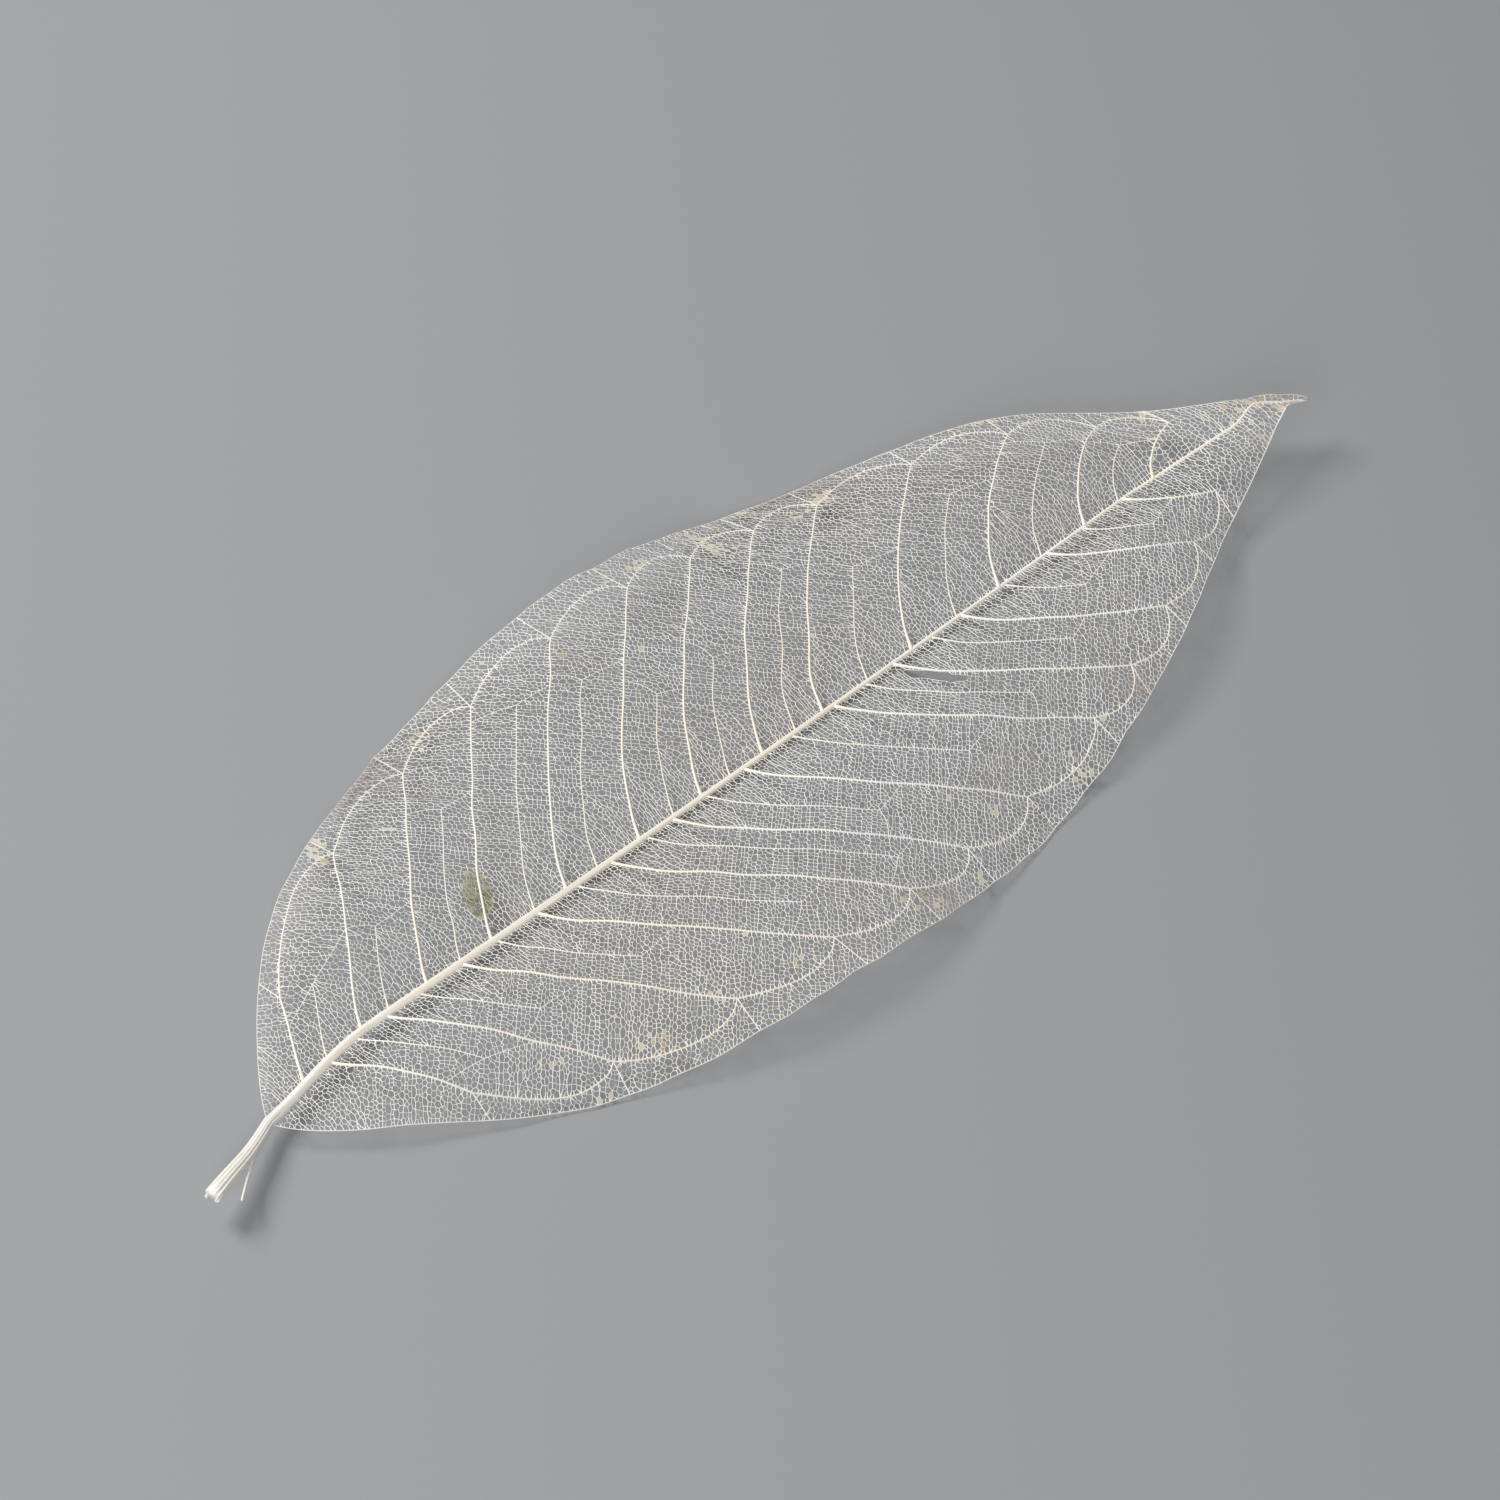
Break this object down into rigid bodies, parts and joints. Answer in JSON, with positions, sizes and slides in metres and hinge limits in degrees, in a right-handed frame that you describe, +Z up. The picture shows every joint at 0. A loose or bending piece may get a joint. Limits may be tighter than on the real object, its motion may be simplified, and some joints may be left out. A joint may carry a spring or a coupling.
{
  "type": "skeleton leaf",
  "caption": "Dried leaf reduced to its lace of veins: a straight midrib with a short stalk, looping side veins and a fine net, waved and lying flat.",
  "frame": {"origin": "centre of the flat spot pressed under the midrib, 74 mm along it from the base of the blade, on the surface that the leaf lies on", "axes": "+X along the midrib towards the leaf's tip, +Y across the blade to the left of it, +Z up out of the surface"},
  "size_m": [0.1733, 0.0608, 0.0068],
  "materials": {
    "dry_vein": "matt dry plant fibre, cream white"
  },
  "bodies": {
    "root": {"skeleton_leaf": "dry_vein"}
  },
  "joints": []
}
